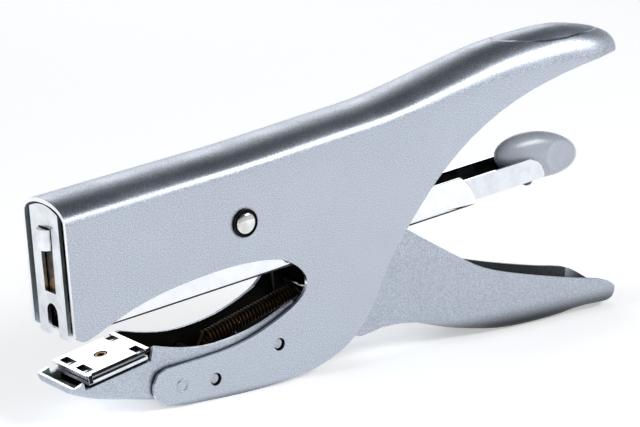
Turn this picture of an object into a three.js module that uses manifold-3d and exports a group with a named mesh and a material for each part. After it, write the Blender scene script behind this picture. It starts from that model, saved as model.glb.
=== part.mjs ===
// A hand-held plier stapler: a pressed steel body with a lower jaw and a reversible anvil, a
// squeezing lever, a hinged magazine with its driver, and a loading rail that draws out rearwards.
// Units are millimetres. +X points to the rear (the handles), +Y to the far side, +Z up.
// Outlines are [x, z] from the axis of the main pivot, where everything that turns is carried.
import * as THREE from "three";
import { mergeVertices } from "three/addons/utils/BufferGeometryUtils.js";
import Module from "manifold-3d";

const wasm = await Module();
wasm.setup();

// ---- Driving dimensions -----------------------------------------------------------------------
const GAP = 0.3; // clearance between pieces that face each other
const ARM_PLAY = 0.75; // between the magazine and each arm of the lever
const BODY_SHEET = 1.1;
const LEVER_SHEET = 1.2;
const JAW_SHEET = 1.1;
const HEAD_FRONT = -55.3; // front edge of the head at its crease
const HEAD_LEAN = 4.7; // degrees that the head's front leans back towards its foot
const HANDLE_TIP = 142.2; // rear tip of the upper handle
const LEVER_TIP = 142.8; // rear tip of the lower handle
const STAPLE_CROWN = 13; // staple width that the magazine is made for
const MAGAZINE_SHEET = 0.8;
const MAGAZINE_TILT = 6.75; // degrees that the magazine rises towards the rear
const MAGAZINE_FLOOR = -17.85; // underside of the channel below the pivot, square to the magazine
const MAGAZINE_DEPTH = 9.6;
const MAGAZINE_REAR = 80; // rear end of the channel, along the magazine
const RAIL_SHEET = 0.7;
const RAIL_DROP = 1.8; // from the channel's edges down to the rail's
const RAIL_REAR = 110.5;
const FRONT_SHEET = 1.0;
const BLADE = 0.7; // driver blade thickness
const RIVET_RADIUS = 2.6;
const RIVET_HEAD = 3.9;
const RIVET_DOME = 1.3;
const SLEEVE_WALL = 1.0;
const JAW_RIVET_RADIUS = 1.5;
const RIVET_RECESS = 0.8; // the jaw rivets end this far below the tongue's face
const PIN_RADIUS = 1.2; // pins that hold the return spring
const SPRING_ANCHOR = [-9, -37.4];
const SPRING_HOOK = [27.3, -24.2];
const ANVIL_TILT = 12; // degrees that the anvil rises towards the rear
const ANVIL = { x: -38.8, z: -32.1, length: 20, width: STAPLE_CROWN + 3.8, sheet: 1.0, base: 1.7 };
const KNOB_PIN_RADIUS = 0.9;
const CATCH_PIN_RADIUS = 0.8;
const KNOB = { behind: 2.15, below: 1.37, long: 16, high: 7, tilt: 6.4, play: 0.45 };
const DISH = { radius: 19.8, behind: 10, out: 22.5, below: 1.5 };
const RETURN_SPRING = { radius: 2.0, wire: 0.6, turns: 17 };
const PUSHER_SPRING = { play: 0.5, wire: 0.5, turns: 22 };
const ROD_PLAY = 0.65; // between the pusher's rod and the spring on it

// ---- Sizes that follow ------------------------------------------------------------------------
const rad = THREE.MathUtils.degToRad;
const magInner = STAPLE_CROWN / 2 + 0.1;
const magHalf = magInner + MAGAZINE_SHEET;
const leverInner = magHalf + ARM_PLAY;
const leverHalf = leverInner + LEVER_SHEET;
const cheekInner = leverHalf + GAP;
const bodyHalf = cheekInner + BODY_SHEET;
const jawHalf = cheekInner - GAP;
const jawInner = jawHalf - JAW_SHEET;
const magTop = MAGAZINE_FLOOR + MAGAZINE_DEPTH;
const railFloor = MAGAZINE_FLOOR + MAGAZINE_SHEET + GAP;
const railTop = magTop - RAIL_DROP;
const railHalf = STAPLE_CROWN / 2 - 0.65;
const railInner = railHalf - RAIL_SHEET;
const rodHeight = (railFloor + railTop) / 2;
const coilRadius = rodHeight - railFloor - RAIL_SHEET - PUSHER_SPRING.wire / 2 - PUSHER_SPRING.play;
const rodRadius = coilRadius - PUSHER_SPRING.wire / 2 - ROD_PLAY;
const sleeveInner = RIVET_RADIUS + GAP;
const sleeveOuter = sleeveInner + SLEEVE_WALL;
const pivotHole = sleeveOuter + GAP;

// ---- Geometry helpers -------------------------------------------------------------------------
function solid(geometry) {
  const bare = geometry.clone();
  bare.deleteAttribute("normal");
  bare.deleteAttribute("uv");
  const merged = mergeVertices(bare, 1e-4);
  return new wasm.Manifold(
    new wasm.Mesh({
      numProp: 3,
      vertProperties: new Float32Array(merged.attributes.position.array),
      triVerts: new Uint32Array(merged.index.array),
    }),
  );
}

function geometryOf(body) {
  const mesh = body.getMesh();
  const positions = new Float32Array(mesh.numVert * 3);
  for (let i = 0; i < mesh.numVert; i++) {
    positions.set(mesh.vertProperties.subarray(i * mesh.numProp, i * mesh.numProp + 3), i * 3);
  }
  const geometry = new THREE.BufferGeometry();
  geometry.setAttribute("position", new THREE.BufferAttribute(positions, 3));
  geometry.setIndex(new THREE.BufferAttribute(new Uint32Array(mesh.triVerts), 1));
  return geometry;
}

const spline = (points) => new THREE.SplineCurve(points.map(([x, z]) => new THREE.Vector2(x, z)));

// A smooth open curve through [x, z] points, as evenly spaced points.
function smooth(points, steps) {
  return spline(points).getPoints(steps);
}

// An outline as one list of Vector2, from runs that are either Vector2 lists or [x, z] points.
function outline(...runs) {
  return runs.flatMap((run) =>
    run[0] instanceof THREE.Vector2 ? run : run.map(([x, z]) => new THREE.Vector2(x, z)),
  );
}

// A side-view outline made solid across the width, from y = -half to +half.
function slab(points, half) {
  const shape = new THREE.Shape(points);
  const geometry = new THREE.ExtrudeGeometry(shape, { depth: 2 * half, bevelEnabled: false });
  geometry.rotateX(Math.PI / 2);
  geometry.translate(0, half, 0);
  return solid(geometry);
}

function box(x0, x1, y0, y1, z0, z1) {
  const geometry = new THREE.BoxGeometry(x1 - x0, y1 - y0, z1 - z0);
  geometry.translate((x0 + x1) / 2, (y0 + y1) / 2, (z0 + z1) / 2);
  return solid(geometry);
}

// A round bar across the width.
function crossBar(x, z, radius, half, sides = 24) {
  const geometry = new THREE.CylinderGeometry(radius, radius, 2 * half, sides);
  geometry.translate(x, 0, z);
  return solid(geometry);
}

function lathe(profile, sides = 28) {
  return new THREE.LatheGeometry(profile.map(([r, h]) => new THREE.Vector2(r, h)), sides);
}

class Helix extends THREE.Curve {
  constructor(radius, length, turns) {
    super();
    Object.assign(this, { radius, length, turns });
  }
  getPoint(t, target = new THREE.Vector3()) {
    const angle = t * this.turns * 2 * Math.PI;
    return target.set(this.radius * Math.cos(angle), this.radius * Math.sin(angle), t * this.length);
  }
}

// A coil spring from one [x, z] point to another in the middle plane.
function coil(from, to, { radius, wire, turns }) {
  const run = new THREE.Vector3(to[0] - from[0], 0, to[1] - from[1]);
  const section = new THREE.Shape();
  section.absarc(0, 0, wire / 2, 0, 2 * Math.PI);
  const geometry = new THREE.ExtrudeGeometry(section, {
    extrudePath: new Helix(radius, run.length(), turns),
    steps: turns * 8,
    curveSegments: 2,
  });
  const turn = new THREE.Quaternion().setFromUnitVectors(new THREE.Vector3(0, 0, 1), run.normalize());
  geometry.applyQuaternion(turn);
  geometry.translate(from[0], 0, from[1]);
  return geometry;
}

// Leaning frames of reference: the magazine's own, the head front's and the anvil's.
function leaning(degrees, x = 0, z = 0) {
  const group = new THREE.Group();
  group.rotation.y = -rad(degrees);
  group.position.set(x, 0, z);
  return group;
}

const root = new THREE.Group();
const magazine = leaning(MAGAZINE_TILT);
const headFront = leaning(HEAD_LEAN, HEAD_FRONT, 8.7);
const anvil = leaning(ANVIL_TILT, ANVIL.x, ANVIL.z);
root.add(magazine, headFront, anvil);

function add(parent, name, shape, look) {
  const geometry = shape.isBufferGeometry ? shape : geometryOf(shape);
  const mesh = new THREE.Mesh(geometry, new THREE.MeshStandardMaterial(look));
  mesh.name = name;
  parent.add(mesh);
}

const SATIN = { color: 0xa9b0bb, roughness: 0.45, metalness: 0.7 };
const BRIGHT = { color: 0xdfe3e8, roughness: 0.15, metalness: 1 };
const PLASTIC = { color: 0x9aa1ac, roughness: 0.4, metalness: 0 };
const SPRING = { color: 0x8a6a4a, roughness: 0.35, metalness: 1 };

// ---- Body: head, upper handle, cheeks and tongues in one pressed sheet --------------------------
const ridge = spline([[-60, 11.7], [-30, 15.3], [0, 18.9], [30, 23.4], [50, 26.5], [68, 31.1],
  [90, 37.2], [105, 39.6], [118, 40.8], [131, 39.3], [HANDLE_TIP - 3.6, 36.8], [HANDLE_TIP, 34]]);
const crease = spline([[-60, 6.4], [-30, 10], [0, 13.6], [30, 18], [50, 21], [75, 26.4], [100, 30],
  [120, 31.2], [HANDLE_TIP, 30]]);
const heightAt = (curve, x) => {
  let low = 0;
  let high = 1;
  for (let i = 0; i < 30; i++) {
    const middle = (low + high) / 2;
    if (curve.getPoint(middle).x < x) low = middle;
    else high = middle;
  }
  return curve.getPoint(low).y;
};

// The body's envelope: a lofted tunnel with a crowned roof, closed at the handle's rounded tip.
function tunnel(inset) {
  const rings = [];
  const tip = HANDLE_TIP - inset;
  const tipRound = 20 - inset;
  const stations = [];
  for (let x = -60; x < tip - tipRound; x += 6.4) stations.push(x);
  for (let i = 0; i <= 8; i++) stations.push(tip - tipRound + tipRound * Math.sin((i / 8) * 1.53));
  for (const x of stations) {
    const along = Math.max(0, (x - tip + tipRound) / tipRound);
    const half = (bodyHalf - inset) * Math.sqrt(1 - along * along);
    const base = heightAt(crease, x);
    const rise = heightAt(ridge, x) - inset - base;
    const ring = [[-half, -60], [-half, base]];
    const arc = 14;
    for (let i = 1; i < arc; i++) {
      const angle = Math.PI * (1 - i / arc);
      const across = Math.sign(Math.cos(angle)) * Math.abs(Math.cos(angle)) ** 0.95;
      ring.push([half * across, base + rise * Math.sin(angle) ** 0.95]);
    }
    ring.push([half, base], [half, -60]);
    rings.push(ring.map(([y, z]) => [x, y, z]));
  }
  return loft(rings);
}

// Closed surface through rings of [x, y, z], each running clockwise seen from the rear, with flat ends.
function loft(rings) {
  const count = rings[0].length;
  const index = [];
  rings.slice(1).forEach((_, i) => {
    for (let j = 0; j < count; j++) {
      const a = i * count + j;
      const b = i * count + ((j + 1) % count);
      index.push(a, a + count, b, b, a + count, b + count);
    }
  });
  for (const [ring, facing] of [[0, -1], [rings.length - 1, 1]]) {
    const flat = rings[ring].map(([, y, z]) => new THREE.Vector2(y, z));
    for (const face of THREE.ShapeUtils.triangulateShape(flat, [])) {
      const turn = Math.sign(THREE.ShapeUtils.area(face.map((k) => flat[k])));
      const corners = face.map((k) => ring * count + k);
      index.push(...(turn === facing ? corners : corners.reverse()));
    }
  }
  const geometry = new THREE.BufferGeometry();
  geometry.setAttribute("position", new THREE.Float32BufferAttribute(rings.flat(2), 3));
  geometry.setIndex(index);
  return solid(geometry);
}

const SLIVER = 0.02; // keeps the cut's flat faces inside the sheet's, so that none lie in one plane

// What a pressed channel's rounded lower corners cut away at its stations along x, with room ahead of
// them and behind. The foot is a curve; half and round give the half width and the corner's radius.
function cornerCut({ stations, half, foot, round, ahead = 0, behind = 0 }) {
  const top = -20;
  const rings = stations.map((x) => {
    const base = heightAt(foot, x);
    const wide = half(x);
    const radius = Math.min(round(x), wide * 0.9);
    const ring = [[-wide, top]];
    const arc = 6;
    for (let i = 0; i <= arc; i++) {
      const angle = (i / arc) * (Math.PI / 2);
      ring.push([-wide + radius * (1 - Math.cos(angle)), base + radius * (1 - Math.sin(angle))]);
    }
    const mirrored = ring.map(([y, z]) => [-y, z]).reverse();
    return [...ring, ...mirrored].reverse().map(([y, z]) => [x, y, z]);
  });
  const room = (from, to) => box(from, to, -bodyHalf, bodyHalf, -60, top - 1);
  return room(stations[0] - ahead, stations.at(-1) + behind).subtract(loft(rings));
}

const headFoot = HEAD_FRONT + 31.6 * Math.tan(rad(HEAD_LEAN));
const bodySide = outline(
  [[HEAD_FRONT - 0.6, 16], [HEAD_FRONT, 8.7], [headFoot, -22.9]],
  smooth([[headFoot + 0.6, -23.4], [-50.4, -24.1], [-48.2, -23.7], [-43.2, -21.4], [-35.1, -17.9],
    [-24.4, -14.7], [-8.2, -11.9], [4.3, -11.3], [13, -12.4], [18.8, -15.8], [21, -20], [18.4, -24.4],
    [11.5, -28.6], [2.2, -32.4], [-8, -34.6], [-25, -36.1]], 46),
  smooth([[-27.6, -37.2], [-29.1, -40.6], [-28.2, -44], [-25, -46.3]], 8),
  smooth([[-20, -47.1], [-2, -47.5], [12, -46.8], [24, -45], [32.5, -41.7], [38, -37.9], [43, -32],
    [49.2, -20], [55.6, -10.3], [67.9, 4.1], [81.9, 15.2], [98, 23.2], [116.8, 28.8], [131.2, 31.4],
    [HANDLE_TIP - 4, 31.7]], 40),
  smooth([[HANDLE_TIP - 3, 31.8], [HANDLE_TIP - 0.9, 32.8], [HANDLE_TIP, 34.6], [HANDLE_TIP + 0.4, 37]], 6),
  [[HANDLE_TIP + 1, 50], [HEAD_FRONT - 0.6, 50]],
);
const rivetHoles = [[-9.3, -41.9], [11.7, -35.9]];
let body = slab(bodySide, bodyHalf + 1).intersect(tunnel(0)).subtract(tunnel(BODY_SHEET));
body = body.subtract(crossBar(0, 0, RIVET_RADIUS + GAP, bodyHalf + 1));
for (const [x, z] of rivetHoles) body = body.subtract(crossBar(x, z, JAW_RIVET_RADIUS + GAP, bodyHalf + 1));
add(root, "body_shell", body, SATIN);

// ---- Lower jaw: a pressed channel between the tongues -------------------------------------------
const jawTop = outline(
  [[-53.2, -38.4], [-53.2, -36.8], [-51.9, -36.8], [-49.6, -35.9], [-49.2, -37.7], [-29, -33.5],
    [-28.4, -30]],
  smooth([[-27.6, -29.8], [-19.5, -31.7], [-10, -32.5], [1.1, -31], [9.5, -28.3], [17, -24.6]], 14),
);
const jawFoot = smooth([[19.5, -26], [19.5, -38], [17, -45.6], [0, -46.4], [-20, -46], [-35.6, -43.3],
  [-46, -41.1]], 18);
const jawFootInner = smooth([[21, -26], [21, -38], [19, -44.4], [0, -45.2], [-20, -44.8],
  [-35.6, -42.1], [-46, -39.9], [-52.1, -37.4]], 18);
const jawHollow = outline([[-52.1, -37.4], [-52.1, -20], [21, -20]], jawFootInner);
const jawKeel = spline([[-56, -37.3], [-53.2, -38.36], [-46, -41.06], [-35.6, -43.26],
  [-20, -45.96], [0, -46.36], [17, -45.56], [24, -45]]);
const jawFront = -53.2;
const jawSteps = [0, 0.25, 0.6, 1.2, 3, 6, 9, 13, 18, 24, 30, 40, 50, 60, 70];
const frontRound = 1.2; // radius of the jaw's front corners seen from above
const jawWide = (x) => {
  const into = Math.max(0, frontRound - (x - jawFront));
  return jawHalf - SLIVER - frontRound + Math.sqrt(frontRound ** 2 - into ** 2);
};
const jawCorner = 2.2;
const jawCut = cornerCut({
  stations: jawSteps.map((step) => jawFront + step),
  half: jawWide,
  foot: jawKeel,
  round: () => jawCorner,
  ahead: 1,
});
let jaw = slab(outline(jawTop, jawFoot), jawHalf).subtract(jawCut);
jaw = jaw.subtract(slab(jawHollow, jawInner));
for (const [x, z] of rivetHoles) jaw = jaw.subtract(crossBar(x, z, JAW_RIVET_RADIUS + GAP, bodyHalf));
jaw = jaw.subtract(crossBar(...SPRING_ANCHOR, PIN_RADIUS + GAP, bodyHalf));
add(root, "lower_jaw", jaw, SATIN);
["front", "rear"].forEach((end, i) => {
  const bar = crossBar(...rivetHoles[i], JAW_RIVET_RADIUS, bodyHalf - RIVET_RECESS);
  const inner = jawInner - 0.3;
  const far = box(-90, 90, inner, bodyHalf, -60, 0);
  const near = box(-90, 90, -bodyHalf, -inner, -60, 0);
  add(root, `jaw_rivet_${end}_near`, bar.intersect(near), BRIGHT);
  add(root, `jaw_rivet_${end}_far`, bar.intersect(far), BRIGHT);
});
add(root, "spring_anchor_pin", crossBar(...SPRING_ANCHOR, PIN_RADIUS, jawHalf), BRIGHT);

// ---- Anvil, in its own leaning frame with the rivet at the origin ---------------------------------
const rivetBore = 1.0;
const rivetWall = 0.6;
const anvilHole = rivetBore + rivetWall + GAP;
const upright = (radius, low, high) => {
  const geometry = new THREE.CylinderGeometry(radius, radius, high - low, 24);
  geometry.rotateX(Math.PI / 2);
  geometry.translate(0, 0, (low + high) / 2);
  return solid(geometry);
};
// A trough across part of the plate, with a round floor: it turns the legs of the staple.
function trough(along, across, chord, depth, length) {
  const radius = (chord * chord / 4 + depth * depth) / (2 * depth);
  const geometry = new THREE.CylinderGeometry(radius, radius, length, 48);
  geometry.rotateZ(Math.PI / 2);
  geometry.translate(along, across, radius - depth);
  return solid(geometry);
}
const anvilFloor = -ANVIL.sheet;
const halfLength = ANVIL.length / 2;
const halfWidth = ANVIL.width / 2;
let plate = box(-halfLength, halfLength, -halfWidth, halfWidth, anvilFloor, 0);
for (const side of [-1, 1]) {
  const tab = [side * (halfLength - 0.3), side * (halfLength - 1.5)].sort((a, b) => a - b);
  const ledge = [side * (halfWidth - 0.5), side * (halfWidth + 0.8)].sort((a, b) => a - b);
  const lip = [side * (halfWidth + 0.2), side * (halfWidth + 0.8)].sort((a, b) => a - b);
  plate = plate.add(box(...tab, ...ledge, anvilFloor, 0));
  plate = plate.add(box(...tab, ...lip, anvilFloor - 1.4, 0));
  plate = plate.subtract(trough(-halfLength + 2.4, side * 4.1, 5.6, 0.7, 2.6));
  plate = plate.subtract(trough(halfLength - 2.6, side * 6.6, 5.6, 0.7, 2.6));
}
add(anvil, "anvil_plate", plate.subtract(upright(anvilHole, -3, 1)), BRIGHT);
const baseTop = anvilFloor - GAP;
const flange = 1.0; // thickness of the base's wide lower part; the neck above it is narrower
const baseFoot = baseTop - ANVIL.base;
const foot = box(-halfLength + 0.4, halfLength - 0.9, -halfWidth - 0.1, halfWidth + 0.1, baseFoot,
  baseFoot + flange);
const neck = box(-halfLength + 0.9, halfLength - 1.2, -halfWidth + 0.9, halfWidth - 0.9, baseFoot,
  baseTop);
add(anvil, "anvil_base", foot.add(neck).subtract(upright(anvilHole, -9, 1)), BRIGHT);
const rivetTop = -0.15;
const rivetFoot = baseFoot - GAP;
const hollowRivet = lathe([[rivetBore, rivetFoot - 0.8], [2.9, rivetFoot - 0.8], [2.9, rivetFoot],
  [rivetBore + rivetWall, rivetFoot], [rivetBore + rivetWall, rivetTop], [rivetBore, rivetTop],
  [rivetBore, rivetFoot - 0.8]]);
hollowRivet.rotateX(Math.PI / 2);
add(anvil, "anvil_rivet", hollowRivet, BRIGHT);

// ---- Main pivot -------------------------------------------------------------------------------
const dome = [];
for (let i = 0; i <= 5; i++) {
  const angle = (i / 5) * (Math.PI / 2);
  dome.push([RIVET_HEAD * Math.cos(angle), bodyHalf + GAP + RIVET_DOME * Math.sin(angle)]);
}
const rivetHalf = [[RIVET_RADIUS, bodyHalf + GAP], ...dome.slice(0, -1)];
const rivet = lathe([
  [0, -bodyHalf - GAP - RIVET_DOME],
  ...rivetHalf.map(([r, h]) => [r, -h]).reverse(),
  ...rivetHalf,
  [0, bodyHalf + GAP + RIVET_DOME],
]);
add(root, "pivot_rivet", rivet, BRIGHT);
const sleeveHalf = cheekInner - GAP;
add(root, "pivot_sleeve", lathe([[sleeveInner, -sleeveHalf], [sleeveOuter, -sleeveHalf],
  [sleeveOuter, sleeveHalf], [sleeveInner, sleeveHalf], [sleeveInner, -sleeveHalf]]), BRIGHT);

// ---- Lever: the lower handle, its two arms and the nose that they close into ----------------------
const noseTop = 4.4;
const noseFoot = -1.0;
const noseTip = HEAD_FRONT - 1.6;
const tipLength = 9; // of the handle's end that is rounded seen from above
const tipPower = 2.8;
const leverSide = outline(
  [[noseTip - 1, noseFoot], [noseTip - 1, noseTop]],
  smooth([[-40, 4.8], [-20, 6.4], [0, 8.2], [16, 7.6], [34, 2.8], [57.4, -10.9], [73.1, -19.9],
    [86, -26.5], [100.2, -30.7], [120.3, -35.2], [134, -37.8], [LEVER_TIP - 2.4, -41.4],
    [LEVER_TIP + 1, -45.4]], 34),
  smooth([[LEVER_TIP + 1, -46.4], [128, -46], [116.7, -47.1], [104, -47.5], [92.9, -46.9],
    [76, -43.7], [62, -39.7], [50, -38.3], [41, -39.2]], 20),
  smooth([[31, -37], [24.5, -30], [22.5, -20], [16, -8.6], [0, -6.6], [-20, -4.6], [-38, noseFoot]], 16),
);
// A quarter of a rounded end, from [x, half] to [x + length, 0]; a higher power is squarer.
function superArc(x, length, half, power, steps) {
  return Array.from({ length: steps + 1 }, (_, i) => {
    const angle = (1 - i / steps) * (Math.PI / 2);
    return new THREE.Vector2(
      x + length * Math.cos(angle) ** (2 / power), half * Math.sin(angle) ** (2 / power));
  });
}
// Plan of the sheet: two arms that close into a rounded nose, and a rounded rear end.
function leverPlan(half, noseHalf, front, rear) {
  const shoulder = -35;
  const side = [
    ...new THREE.CubicBezierCurve(
      new THREE.Vector2(front, 0), new THREE.Vector2(front, noseHalf * 1.25),
      new THREE.Vector2(front + 2.5, noseHalf), new THREE.Vector2(front + 7.5, noseHalf),
    ).getPoints(7),
    ...new THREE.CubicBezierCurve(
      new THREE.Vector2(front + 8, noseHalf), new THREE.Vector2(shoulder - 5, noseHalf),
      new THREE.Vector2(shoulder - 5, half), new THREE.Vector2(shoulder, half),
    ).getPoints(6),
    ...superArc(rear - tipLength, tipLength, half, tipPower, 10),
  ];
  const other = side.slice(1, -1).reverse().map((p) => new THREE.Vector2(p.x, -p.y));
  return [...side, ...other];
}
function planBlock(points, low, high) {
  const geometry = new THREE.ExtrudeGeometry(new THREE.Shape(points),
    { depth: high - low, bevelEnabled: false });
  geometry.translate(0, 0, low);
  return solid(geometry);
}
const noseHalf = 2.6;
const leverOuter = planBlock(leverPlan(leverHalf, noseHalf, noseTip, LEVER_TIP), -60, 20);
const leverCore = planBlock(leverPlan(leverInner, noseHalf - LEVER_SHEET, noseTip + LEVER_SHEET,
  LEVER_TIP - LEVER_SHEET), -60, 20);
const handleFloor = smooth([[LEVER_TIP + 1, -45.6], [128, -45], [116.7, -45.9], [104, -46.3],
  [92.9, -45.7], [76, -42.5], [62, -38.5], [52, -37.1]], 18);
// The handle's lower corners are rolled, and fade out forwards where the arms begin.
const leverKeel = [[30, -39.5], [41, -39.2], [50, -38.3], [62, -39.7], [76, -43.7], [92.9, -46.9],
  [104, -47.5], [116.7, -47.1], [128, -46], [LEVER_TIP + 3, -46.4]];
const rolledFrom = 44;
const rollRadius = 4.2;
const rollFade = 20; // length over which the roll grows to its full radius
function leverCut(inset) {
  const tip = LEVER_TIP - inset;
  const wide = leverHalf - SLIVER - inset;
  const stations = [];
  for (let x = rolledFrom; x < tip - tipLength; x += 5) stations.push(x);
  for (let i = 0; i <= 8; i++) stations.push(tip - tipLength + tipLength * Math.sin((i / 8) * 1.5));
  const half = (x) => {
    const along = Math.max(0, (x - tip + tipLength) / tipLength);
    return wide * (1 - along ** tipPower) ** (1 / tipPower);
  };
  const roll = (x) => THREE.MathUtils.clamp((x - rolledFrom) / rollFade, 0.02, 1) * rollRadius;
  const keel = spline(leverKeel.map(([x, z]) => [x, z + inset + SLIVER]));
  const round = (x) => Math.max(0.1, roll(x) - inset);
  return cornerCut({ stations, half, foot: keel, round, behind: 2 });
}
const leverHollow = leverCore.intersect(slab(outline([[-70, -60], [-70, 20], [LEVER_TIP + 1, 20]],
  handleFloor, [[46, -60]]), leverHalf)).subtract(leverCut(LEVER_SHEET));
let lever = leverOuter.intersect(slab(leverSide, leverHalf + 1)).subtract(leverCut(0));
lever = lever.subtract(leverHollow);
lever = lever.subtract(crossBar(0, 0, pivotHole, bodyHalf));
lever = lever.subtract(crossBar(...SPRING_HOOK, PIN_RADIUS + GAP, bodyHalf));
add(root, "lower_handle", lever, SATIN);
add(root, "spring_hook_pin", crossBar(...SPRING_HOOK, PIN_RADIUS, leverHalf), BRIGHT);
add(root, "return_spring", coil([-5.6, -33.8], [24.0, -25.2], RETURN_SPRING), SPRING);

// ---- Magazine, in its own leaning frame -----------------------------------------------------------
// The channel's walls run forward to the back of the front plate, which leans against them.
const channelLean = Math.tan(rad(MAGAZINE_TILT - HEAD_LEAN));
const channelFront = -52.95;
const earHalf = 7.5;
const earTop = 6;
const channelSide = outline(
  [[channelFront, MAGAZINE_FLOOR], [channelFront - channelLean * -MAGAZINE_DEPTH, magTop],
    [-earHalf - 8, magTop]],
  smooth([[-earHalf, magTop + 6], [-earHalf, 0], [0, earTop], [earHalf, 0], [earHalf, magTop + 6]], 14),
  [[earHalf + 8, magTop], [MAGAZINE_REAR - 2.5, magTop]],
  smooth([[MAGAZINE_REAR - 2.4, magTop], [MAGAZINE_REAR + 0.6, magTop - 3.4],
    [MAGAZINE_REAR + 2.2, MAGAZINE_FLOOR + 2.6], [MAGAZINE_REAR + 2.4, MAGAZINE_FLOOR]], 8),
);
const catchHole = { from: MAGAZINE_REAR - 6, to: MAGAZINE_REAR - 2.4, half: 2.2 };
let channel = slab(channelSide, magHalf);
channel = channel.subtract(box(-60, 100, -magInner, magInner, MAGAZINE_FLOOR + MAGAZINE_SHEET, 20));
channel = channel.subtract(crossBar(0, 0, pivotHole, bodyHalf));
channel = channel.subtract(box(catchHole.from, catchHole.to, -catchHole.half, catchHole.half,
  MAGAZINE_FLOOR - 1, MAGAZINE_FLOOR + 1.5));
add(magazine, "magazine_channel", channel, BRIGHT);

// Front plate and driver, in the head front's frame: w runs up the plate, u to the rear.
const plateHalf = magInner + 0.3;
const plateFoot = -33.4;
const notchHalf = 2.6;
const plateTop = [[-plateHalf, 0.5], [-plateHalf / 2, 1.7], [0, 2.1], [plateHalf / 2, 1.7],
  [plateHalf, 0.5]];
const plateShape = new THREE.Shape(
  outline(
    [[-plateHalf, plateFoot]],
    smooth(plateTop, 10),
    [[plateHalf, plateFoot], [notchHalf, plateFoot]],
    new THREE.EllipseCurve(0, -27.2, notchHalf, notchHalf, 0, Math.PI).getPoints(10),
    [[-notchHalf, plateFoot]],
  ),
);
plateShape.holes.push(new THREE.Path(outline([[-2.7, -21.6], [2.7, -21.6], [3.1, -4], [-3.1, -4]])));
function frontSheet(shape, thickness, setback) {
  const geometry = new THREE.ExtrudeGeometry(shape, { depth: thickness, bevelEnabled: false });
  geometry.rotateX(Math.PI / 2);
  geometry.rotateZ(Math.PI / 2);
  geometry.translate(setback, 0, 0);
  return solid(geometry);
}
add(headFront, "front_plate", frontSheet(plateShape, FRONT_SHEET, 0), BRIGHT);
const bladeHalf = STAPLE_CROWN / 2 - 0.3;
const bladeShape = new THREE.Shape(outline([[-bladeHalf, -23.4], [bladeHalf, -23.4],
  [bladeHalf, -1], [bladeHalf - 1.5, 0.5], [-bladeHalf + 1.5, 0.5], [-bladeHalf, -1]]));
bladeShape.holes.push(new THREE.Path(outline([[-3.1, -10.4], [3.1, -10.4], [3.1, -3.6], [-3.1, -3.6]])));
add(headFront, "driver_blade", frontSheet(bladeShape, BLADE, FRONT_SHEET + GAP), BRIGHT);

// ---- Loading rail with its knob, catch and staple pusher -------------------------------------------
const railFront = -51.2;
const railSide = outline(
  [[railFront, railFloor], [railFront, railTop], [RAIL_REAR - 5, railTop]],
  smooth([[RAIL_REAR - 5, railTop], [RAIL_REAR - 1.6, railTop - 1.8], [RAIL_REAR, railTop - 5],
    [RAIL_REAR, railFloor]], 7).slice(1),
);
const catchPivot = [47, railFloor + 2.6];
const catchSlot = [catchPivot[0] + 7, RAIL_REAR - 1.2];
let rail = slab(railSide, railHalf);
rail = rail.subtract(box(-60, RAIL_REAR + 5, -railInner, railInner, railFloor + RAIL_SHEET, 0));
const catchWindow = catchHole.half + 0.2;
rail = rail.subtract(box(...catchSlot, -catchWindow, catchWindow, railFloor - 1, railFloor + 1.2));
rail = rail.subtract(crossBar(...catchPivot, CATCH_PIN_RADIUS + GAP, bodyHalf));
add(magazine, "loading_rail", rail, BRIGHT);

// The knob is an egg that stands in the rail's open end, with a thumb dish on each side of its rear half.
const egg = new THREE.SphereGeometry(1, 28, 18);
egg.scale(KNOB.long, railInner - KNOB.play, KNOB.high);
egg.rotateY(rad(KNOB.tilt + MAGAZINE_TILT));
const knobAlong = RAIL_REAR + KNOB.behind;
const knobUp = railTop - KNOB.below;
egg.translate(knobAlong, 0, knobUp);
const dish = new THREE.SphereGeometry(DISH.radius, 64, 48);
dish.translate(knobAlong + DISH.behind, DISH.out, knobUp - DISH.below);
const knobDish = solid(dish);
const catchHeadroom = railFloor + RAIL_SHEET + 1.9 + GAP;
const knobPin = [RAIL_REAR - 8.5, railTop - 1.9];
let knob = solid(egg).subtract(knobDish).subtract(knobDish.mirror([0, 1, 0]));
knob = knob.subtract(box(60, RAIL_REAR + 0.5, -20, 20, -40, catchHeadroom));
knob = knob.subtract(crossBar(...knobPin, KNOB_PIN_RADIUS + GAP, bodyHalf));
add(magazine, "rail_knob", knob, PLASTIC);
add(magazine, "knob_pin", crossBar(...knobPin, KNOB_PIN_RADIUS, railInner - 0.1, 16), BRIGHT);

// The catch is drawn released: its hook stands just clear of the channel's floor.
const catchUnder = railFloor + RAIL_SHEET + GAP;
const hookFoot = MAGAZINE_FLOOR + MAGAZINE_SHEET + 0.2;
const hookFront = catchHole.from + 0.4;
const tabFront = RAIL_REAR - 4.6;
const tabFoot = MAGAZINE_FLOOR - 1.4;
const catchSide = outline([
  [catchPivot[0] - 2, catchPivot[1] - 1.5], [hookFront, catchUnder], [hookFront, hookFoot],
  [hookFront + 2.2, hookFoot], [hookFront + 2.8, catchUnder], [tabFront - 0.4, catchUnder],
  [tabFront, tabFoot + 0.7], [tabFront + 0.8, tabFoot], [tabFront + 2.4, tabFoot],
  [tabFront + 3.2, tabFoot + 0.7], [tabFront + 3.2, catchUnder + 1],
  [catchPivot[0] - 2, catchPivot[1] + 1.4],
]);
const catchHalf = 1.9;
const catchBore = crossBar(...catchPivot, CATCH_PIN_RADIUS + GAP, bodyHalf);
add(magazine, "rail_catch", slab(catchSide, catchHalf).subtract(catchBore), PLASTIC);
add(magazine, "catch_pin", crossBar(...catchPivot, CATCH_PIN_RADIUS, railHalf - 0.1, 16), BRIGHT);

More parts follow.
